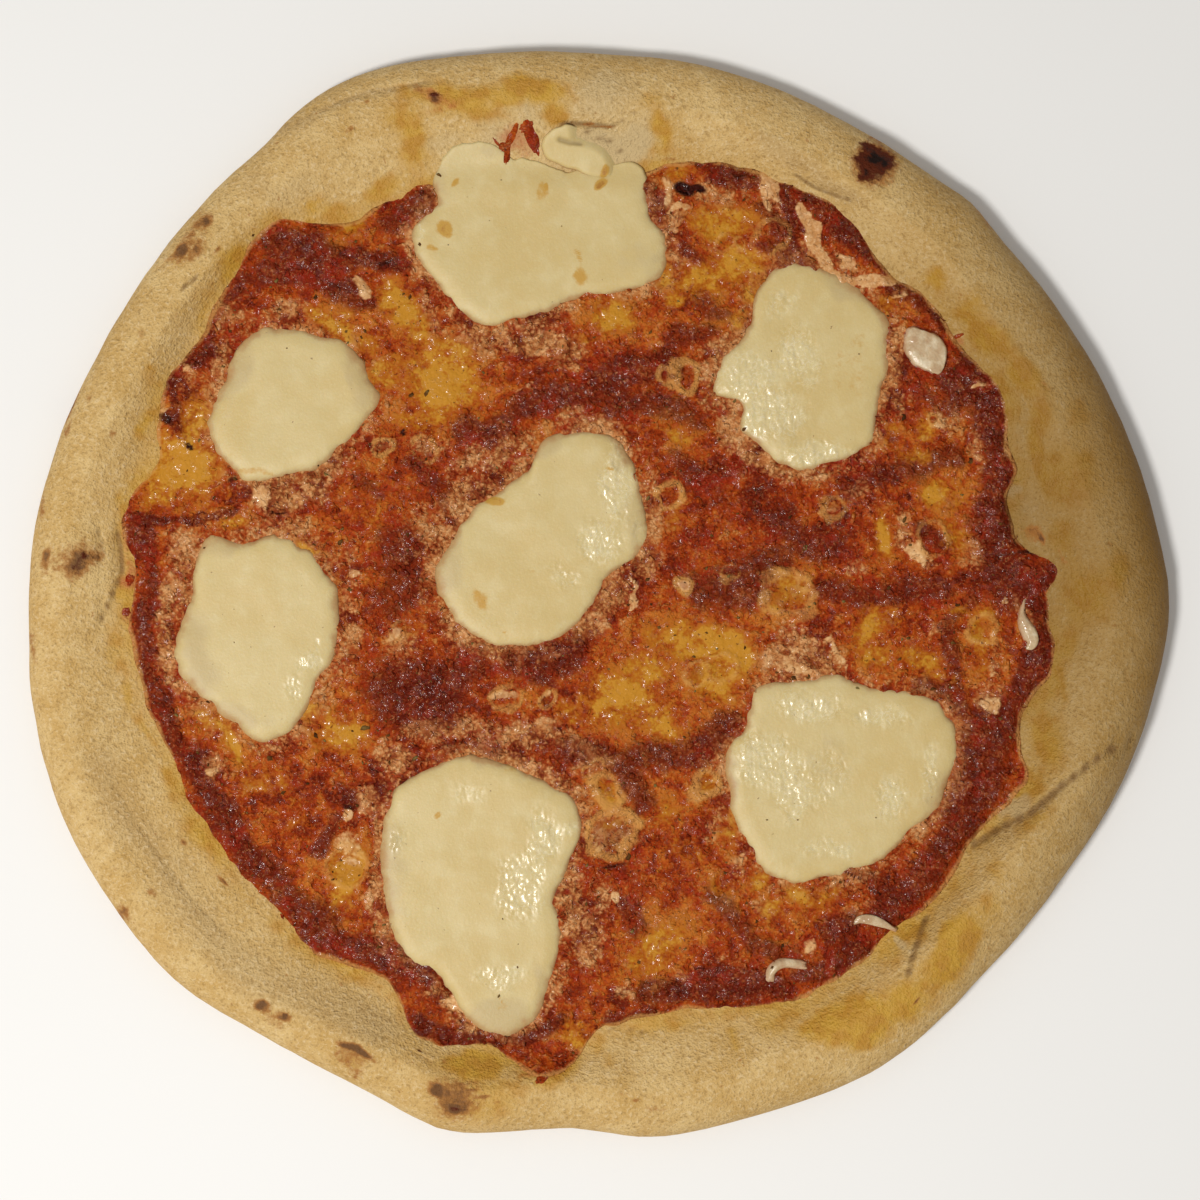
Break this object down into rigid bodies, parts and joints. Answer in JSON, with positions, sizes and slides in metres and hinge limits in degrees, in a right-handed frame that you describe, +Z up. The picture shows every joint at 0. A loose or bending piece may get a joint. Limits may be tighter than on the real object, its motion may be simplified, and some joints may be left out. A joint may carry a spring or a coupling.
{
  "type": "margherita pizza",
  "caption": "Whole round baked pizza with a raised pale rim, a layer of tomato sauce and scattered melted slices and curds of mozzarella.",
  "frame": {"origin": "under the middle of the whole pizza, on the flat underside", "axes": "+Z up out of the topped face; +X along the longest width; +Y across it, towards the edge that the top slice of cheese lies against"},
  "size_m": [0.3, 0.285, 0.0177],
  "materials": {
    "crust": "pale baked dough, dry and floury, with golden, brown and charred spots and yellow oil stains",
    "sauce": "baked tomato sauce, lumpy, wet and dark red with orange pools of cheese fat",
    "mozzarella": "melted mozzarella, smooth, pale cream and slightly glossy",
    "curd": "small white curds of mozzarella, slightly translucent and wet",
    "herb": "dried oregano flakes, dull dark green-brown"
  },
  "bodies": {
    "root": {"crust": "crust", "sauce": "sauce", "mozzarella_top": "mozzarella", "mozzarella_fold": "mozzarella", "mozzarella_upper_right": "mozzarella", "mozzarella_upper_left": "mozzarella", "mozzarella_centre": "mozzarella", "mozzarella_left": "mozzarella", "mozzarella_lower_right": "mozzarella", "mozzarella_bottom": "mozzarella", "curd_upper_right": "curd", "curd_right": "curd", "curd_lower": "curd", "curd_lower_right": "curd"}
  },
  "joints": []
}
